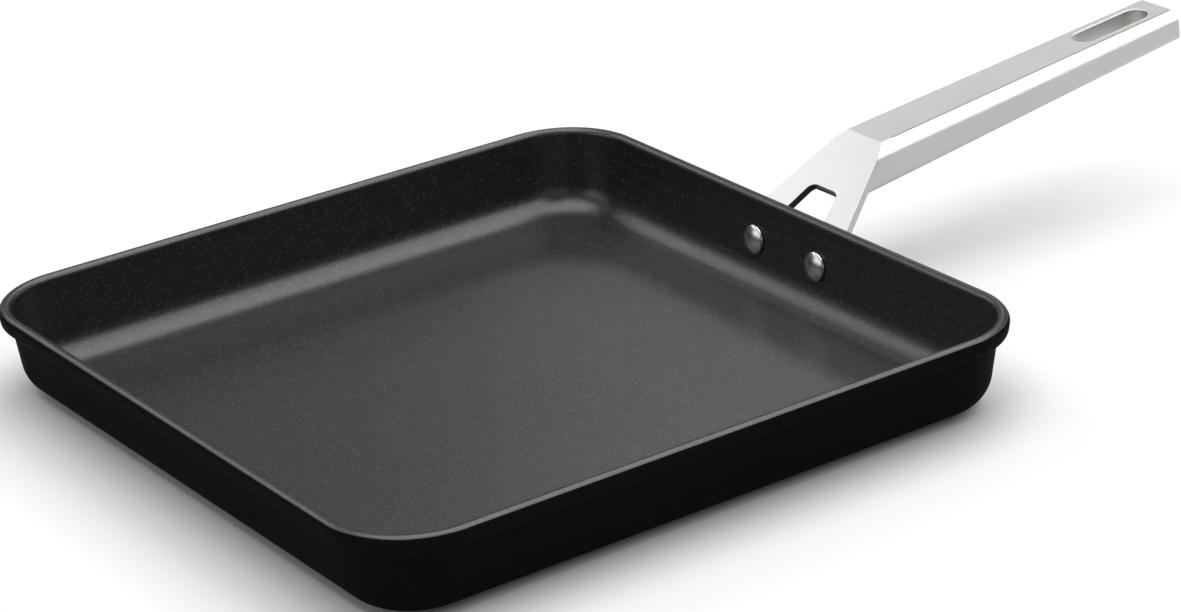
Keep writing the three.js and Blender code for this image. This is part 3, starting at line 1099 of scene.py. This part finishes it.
    def bracket(self) -> Piece:
        """The fork bracket: one sheet with rounded edges, bent above the feet.

        Returns:
            The solid.
        """
        outline = self.leg_outline()
        front, rear = edge_rounding(self.edge_r, 4), edge_rounding(self.rear_edge_r, 2)
        levels = front + [(i, self.steel - n) for i, n in reversed(rear)]
        piece = loft("bracket", [[Vector((p.x, p.y, n)) for p in inset(outline, i)] for i, n in levels])
        work = bmesh.new()
        work.from_mesh(piece.data)
        bmesh.ops.triangulate(work, faces=[f for f in work.faces if len(f.verts) > 4])
        self.mark_window(work)
        for t in self.fold_lines():
            geometry = [*work.verts, *work.edges, *work.faces]
            bmesh.ops.bisect_plane(work, geom=geometry, plane_co=(t, 0, 0), plane_no=(1, 0, 0), dist=1e-5)
        for v in work.verts:
            v.co = self.on_sheet(*v.co)
        bmesh.ops.recalc_face_normals(work, faces=work.faces)
        work.to_mesh(piece.data)
        work.free()
        return piece

    def mark_window(self, work: bmesh.types.BMesh) -> None:
        """Gives the cut edge of the window its own near-black material, which is painted shade.

        Args:
            work: The bracket's sheet before it is bent.
        """
        lean_limit = 0.6
        for face in work.faces:
            middle = face.calc_center_median()
            between = abs(middle.y) < self.leg_spacing / 2 and middle.x > self.window_top() - self.edge_r
            if between and abs(face.normal.z) < lean_limit:
                # These faces get the near-black material: painted shade, not a colour of the steel.
                face.material_index = SHADED_EDGE

    def trim_bracket(self, piece: Piece) -> None:
        """Cuts the bracket's upper corners back to the grip's shoulders.

        Args:
            piece: The bracket.
        """
        far = self.plate_length
        tool = self.plate_box(-far, self.shoulder_end(), -far, far)
        combine(tool, self.grip_block(), Cut.REMOVE)
        combine(piece, tool, Cut.REMOVE)

    def build_shell(self, steel: Material, painted_shade_edge: Material) -> None:
        """Builds the handle's main pressing.

        Args:
            steel: Its material.
            painted_shade_edge: Material of the window's cut edge, a near-black painted shade.
        """
        piece = self.channel()
        bracket = self.bracket()
        dress(piece, steel, painted_shade_edge)
        dress(bracket, steel, painted_shade_edge)
        self.trim_bracket(bracket)
        combine(piece, bracket, Cut.JOIN)
        combine(piece, self.slot_cutter(), Cut.REMOVE)
        turn_outwards(piece.data)
        smooth(piece, FOLDED_EDGE)
        hand_over(piece, MaterialSlot.SATIN, "handle_shell")

    def build_underside(self, steel: Material) -> None:
        """Builds the strip that closes the grip from below, flush with the lower edges of its sides.

        Args:
            steel: Its material.
        """
        soft = self.underside_soft
        loops = []
        for s in (-self.lead, self.length - self.end_plate_t - self.fit_gap):
            edge, depth = self.inner_half(s) - self.fit_gap - soft, self.depth(s)
            right = [
                *arc(Vector((edge, -depth + soft)), soft, -QUARTER, 0.0, steps=3),
                *arc(Vector((edge, self.underside_t - depth - soft)), soft, 0.0, QUARTER, steps=3),
            ]
            loops.append(self.grip_loop(s, [*right, *mirrored(right)]))
        piece = loft("handle_underside_look", loops)
        combine(piece, self.ahead_of_plate(self.steel + self.fit_gap, -self.cut_reach), Cut.REMOVE)
        combine(piece, self.slot_cutter(), Cut.REMOVE)
        turn_outwards(piece.data)
        smooth(piece, FOLDED_EDGE)
        dress(piece, steel)
        hand_over(piece, MaterialSlot.SATIN, "handle_underside")

    def build_end_plate(self, steel: Material) -> None:
        """Builds the plate that closes the grip's far end.

        Args:
            steel: Its material.
        """
        inner_r, low_r = self.shoulder_r - self.steel, self.end_plate_soft
        top = -self.steel - self.fit_gap
        rounding = edge_rounding(self.end_plate_soft, 4)
        levels = [(i, self.length - self.end_plate_t + n) for i, n in rounding]
        levels += [(i, self.length - n) for i, n in reversed(rounding)]
        loops = []
        for inward, s in levels:
            half, depth = self.inner_half(s) - self.fit_gap, self.depth(s)
            right = [
                *arc(Vector((half - low_r, low_r - depth)), low_r, -QUARTER, 0, steps=4),
                *arc(Vector((half - inner_r, top - inner_r)), inner_r, 0, QUARTER, steps=8),
            ]
            loops.append(self.grip_loop(s, inset([*right, *mirrored(right)], inward)))
        piece = loft("handle_end_plate_look", loops)
        smooth(piece, FOLDED_EDGE)
        dress(piece, steel)
        hand_over(piece, MaterialSlot.SATIN, "handle_end_plate")

    def build_liner(self, steel: Material) -> None:
        """Builds the sleeve that lines the hanging slot, with soft upper and lower edges.

        Args:
            steel: Its material.
        """
        inner = edge_rounding(self.liner_inner_soft, 5)
        outer = [(self.liner_t - i, n) for i, n in edge_rounding(self.liner_outer_soft, 3)]
        loops = []
        for margin, n in (*reversed(outer), *inner):
            loops.append([self.on_grip(p.x, p.y, -n) for p in self.slot_outline(margin)])
        for margin, n in (*reversed(inner), *outer):
            loops.append([self.on_grip(p.x, p.y, n - self.depth(p.x)) for p in self.slot_outline(margin)])
        piece = loft("slot_liner_look", loops, endless=True)
        smooth(piece, SLEEVE_EDGE)
        dress(piece, steel)
        hand_over(piece, MaterialSlot.POLISHED, "slot_liner")


# The rivets


@dataclass
class Rivets:
    """The two domed rivets that hold the bracket's feet to the wall. Sizes in millimetres."""

    handle: Handle
    shank_d: float = 5.0
    head_d: float = 12.0
    head_h: float = 2.4
    head_soft: float = 0.35
    rim: float = 0.6
    tail_h: float = 1.2
    tail_soft_share: float = 0.8
    around: int = 64
    count: int = 2

    def profile(self) -> Loop:
        """Half of a rivet's section, from the tail's middle to the head's.

        Returns:
            Points as (radius, height).
        """
        gap, sheet, steel = self.handle.fit_gap, self.handle.tray.sheet, self.handle.steel
        seat = gap + sheet + gap
        tail = -steel - gap
        head_r, tail_r, shank_r = self.head_d / 2, self.handle.rivet_tail_d / 2, self.shank_d / 2
        dome_h = self.head_h - self.rim
        dome_r = (head_r**2 + dome_h**2) / (2 * dome_h)
        dome_middle = Vector((0.0, seat + self.head_h - dome_r))
        soft = self.head_soft
        edge = math.acos((head_r - soft / 2) / dome_r)
        round_r = self.tail_h * self.tail_soft_share
        tail_middle = Vector((tail_r - round_r, tail - self.tail_h + round_r))
        return [
            Vector((0.0, tail - self.tail_h)),
            *arc(tail_middle, round_r, -QUARTER, 0, steps=6),
            Vector((tail_r, tail)),
            Vector((shank_r, tail)),
            Vector((shank_r, seat)),
            Vector((head_r - soft, seat)),
            *arc(Vector((head_r - soft, seat + soft)), soft, -QUARTER, math.pi / 5, steps=5),
            *arc(dome_middle, dome_r, edge, QUARTER, steps=14)[1:],
        ]

    def one(self) -> Piece:
        """One rivet on its own axis, its head up.

        Returns:
            The solid.
        """
        profile = self.profile()
        points = [Vector((0, 0, profile[0].y)) * MM]
        for p in profile[1:-1]:
            turns = (2 * math.pi * i / self.around for i in range(self.around))
            points += [Vector((p.x * math.cos(a), p.x * math.sin(a), p.y)) * MM for a in turns]
        points.append(Vector((0, 0, profile[-1].y)) * MM)
        last = len(points) - 1
        faces: list[Sequence[int]] = []
        for i in range(len(profile) - 3):
            faces += ring_faces(1 + i * self.around, 1 + (i + 1) * self.around, self.around)
        for j in range(self.around):
            k = (j + 1) % self.around
            faces.append((0, 1 + k, 1 + j))
            faces.append((last, last - self.around + j, last - self.around + k))
        return from_faces("rivets", points, faces)

    def pair_tree(self) -> Tree:
        """The node tree that sets one rivet on each leg.

        Returns:
            The tree, with its sizes as named inputs.
        """
        inputs = {
            "Rivet": Given.SHAPE,
            "First Place": Given.PLACE,
            "Spacing": Given.NUMBER,
            "Tilt": Given.NUMBER,
            "Count": Given.COUNT,
            "Steel": Given.FINISH,
        }
        tree, sheet = new_tree("rivet_pair", inputs, "Rivets")
        given = sheet.add("NodeGroupInput").outputs
        step = sheet.result("ShaderNodeCombineXYZ", {"Y": given["Spacing"]})
        line = {"Count": given["Count"], "Start Location": given["First Place"], "Offset": step}
        places = sheet.result("GeometryNodeMeshLine", line)
        turn = sheet.result("ShaderNodeCombineXYZ", {"Y": given["Tilt"]})
        facing = sheet.result("FunctionNodeEulerToRotation", {0: turn})
        setting = {"Points": places, "Instance": given["Rivet"], "Rotation": facing}
        copies = sheet.result("GeometryNodeInstanceOnPoints", setting)
        real = sheet.result("GeometryNodeRealizeInstances", {"Geometry": copies})
        finish = {"Geometry": real, "Material": given["Steel"]}
        sheet.add("NodeGroupOutput", {"Rivets": sheet.result("GeometryNodeSetMaterial", finish)})
        return tree

    def build(self, steel: Material) -> None:
        """Builds both rivets as one piece.

        Args:
            steel: Their material.
        """
        piece = self.one()
        spacing = self.handle.leg_spacing * MM
        point, out = self.handle.rivet_point, self.handle.wall_out
        values = {
            "First Place": (point.x * MM, -spacing / 2, point.y * MM),
            "Spacing": spacing,
            "Tilt": math.atan2(-out.x, -out.y),
            "Count": self.count,
            "Steel": steel,
        }
        run_tree(piece, self.pair_tree(), values)
        smooth(piece, PRESSED_EDGE)
        hand_over(piece, MaterialSlot.POLISHED, "rivet_left", "rivet_right")


# The studio


@dataclass(frozen=True)
class SoftBox:
    """A soft lamp, in metres, turned to a point on the floor."""

    name: str
    place: tuple[float, float, float]
    aim: tuple[float, float]
    size: tuple[float, float]
    radiance: float

    def hang(self) -> None:
        """Puts the lamp in the scene."""
        lamp = bpy.data.lights.new(self.name, "AREA")
        lamp.shape = "RECTANGLE"
        lamp.size, lamp.size_y = self.size
        lamp.energy = LAMP_WATTS * self.radiance * self.size[0] * self.size[1]
        box = bpy.data.objects.new(self.name, lamp)
        box.location = self.place
        way = Vector((*self.aim, 0.0)) - Vector(self.place)
        box.rotation_euler = way.to_track_quat("-Z", "Y").to_euler()
        bpy.context.scene.collection.objects.link(box)


@dataclass
class Studio:
    """Pale floor, a dim dome, soft boxes and the camera."""

    dome: float = 0.07
    floor_level: float = 0.77
    floor_lift: float = 0.01
    floor_size: float = 12.0
    floor_drop: float = 0.0004
    lamps: tuple[SoftBox, ...] = (
        SoftBox("overhead_box", (1.5, -0.45, 2.0), (1.5, -0.45), (1.8, 4.1), 2.12),
        SoftBox("corner_box", (-0.3, 0.05, 2.0), (-0.3, 0.05), (1.8, 2.1), 2.12),
        SoftBox("back_box", (-0.55, 1.7, 1.38), (0.0, 0.0), (1.8, 0.7), 1.65),
        SoftBox("grip_box", (1.46, 1.54, 1.08), (0.26, 0.0), (0.7, 0.24), 1.65),
        SoftBox("floor_box", (0.75, 1.95, 0.92), (0.0, 0.0), (1.4, 0.7), 0.2),
        SoftBox("front_box", (-0.6, -2.1, 0.95), (0.0, 0.0), (2.2, 0.9), 0.4),
        SoftBox("right_box", (2.4, -0.1, 0.85), (0.0, 0.0), (1.6, 0.8), 0.6),
        SoftBox("left_box", (-1.9, 0.45, 1.0), (0.0, 0.0), (2.0, 1.0), 1.0),
    )
    lens_px: float = 3626.4
    frame_px: float = 1181.0
    sensor_mm: float = 36.0
    clip: tuple[float, float] = (0.05, 50.0)
    azimuth: float = -34.82
    elevation: float = 23.21
    roll: float = -2.93
    eye: tuple[float, float, float] = (35.703, 30.542, 1363.327)

    def light_world(self) -> None:
        """A dim even dome."""
        world = bpy.data.worlds.new("dim_dome")
        world.use_nodes = True
        sheet = NodeSheet(world.node_tree)
        back = sheet.result("ShaderNodeBackground", {"Color": grey(1.0), "Strength": self.dome})
        sheet.add("ShaderNodeOutputWorld", {"Surface": back})
        bpy.context.scene.world = world

    def lay_floor(self) -> None:
        """A wide pale floor that takes the pan's shadow."""
        half = self.floor_size / 2
        corners = [(-half, -half), (half, -half), (half, half), (-half, half)]
        mesh = bpy.data.meshes.new("floor")
        mesh.from_pydata([(x, y, -self.floor_drop) for x, y in corners], [], [(0, 1, 2, 3)])
        floor = new_piece("floor", mesh)
        material, sheet = new_material("pale_floor")
        path = sheet.add("ShaderNodeLightPath").outputs
        seen = sheet.math("ADD", path["Is Camera Ray"], path["Is Glossy Ray"], clamp=True)
        seen = sheet.math("ADD", seen, path["Is Transmission Ray"], clamp=True)
        matt = sheet.result("ShaderNodeBsdfDiffuse", {"Color": grey(self.floor_level)})
        lift = sheet.math("MULTIPLY", seen, self.floor_lift)
        glow = sheet.result("ShaderNodeEmission", {"Color": grey(1.0), "Strength": lift})
        close_material(sheet, sheet.result("ShaderNodeAddShader", {0: matt, 1: glow}))
        dress(floor, material)

    def set_camera(self) -> None:
        """The camera at the photograph's place."""
        turn, lift, roll = (math.radians(a) for a in (self.azimuth, self.elevation, self.roll))
        back = Vector((math.sin(turn) * math.cos(lift), -math.cos(turn) * math.cos(lift), math.sin(lift)))
        right = Vector((math.cos(turn), math.sin(turn), 0.0))
        up = back.cross(right)
        place = (right * self.eye[0] + up * self.eye[1] + back * self.eye[2]) * MM
        level = right * math.cos(roll) + up * math.sin(roll)
        upright = up * math.cos(roll) - right * math.sin(roll)
        data = bpy.data.cameras.new("camera")
        data.sensor_fit = "HORIZONTAL"
        data.sensor_width = self.sensor_mm
        data.lens = self.lens_px / self.frame_px * self.sensor_mm
        data.clip_start, data.clip_end = self.clip
        camera = bpy.data.objects.new("camera", data)
        camera.matrix_world = Matrix((level, upright, back)).transposed().to_4x4()
        camera.location = place
        bpy.context.scene.collection.objects.link(camera)
        bpy.context.scene.camera = camera

    def build(self) -> None:
        """Sets the whole studio up."""
        self.light_world()
        self.lay_floor()
        for lamp in self.lamps:
            lamp.hang()
        self.set_camera()
        bpy.context.scene.view_settings.view_transform = "Standard"


def clear_scene() -> None:
    """Removes whatever Blender starts with."""
    for item in list(bpy.data.objects):
        bpy.data.objects.remove(item)


def main() -> None:
    """Builds the pan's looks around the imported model, piece by piece."""
    logging.basicConfig(level=logging.INFO, format="%(name)s: %(message)s")
    clear_scene()
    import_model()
    Studio().build()
    satin, polished = SATIN_STEEL.material(), POLISHED_STEEL.material()
    tray = Tray()
    tray.build()
    handle = Handle(tray)
    handle.build_shell(satin, WINDOW_EDGE_SHADE.material())
    handle.build_underside(satin)
    handle.build_end_plate(satin)
    handle.build_liner(polished)
    Rivets(handle).build(RIVET_STEEL.material())


if __name__ == "__main__":
    main()
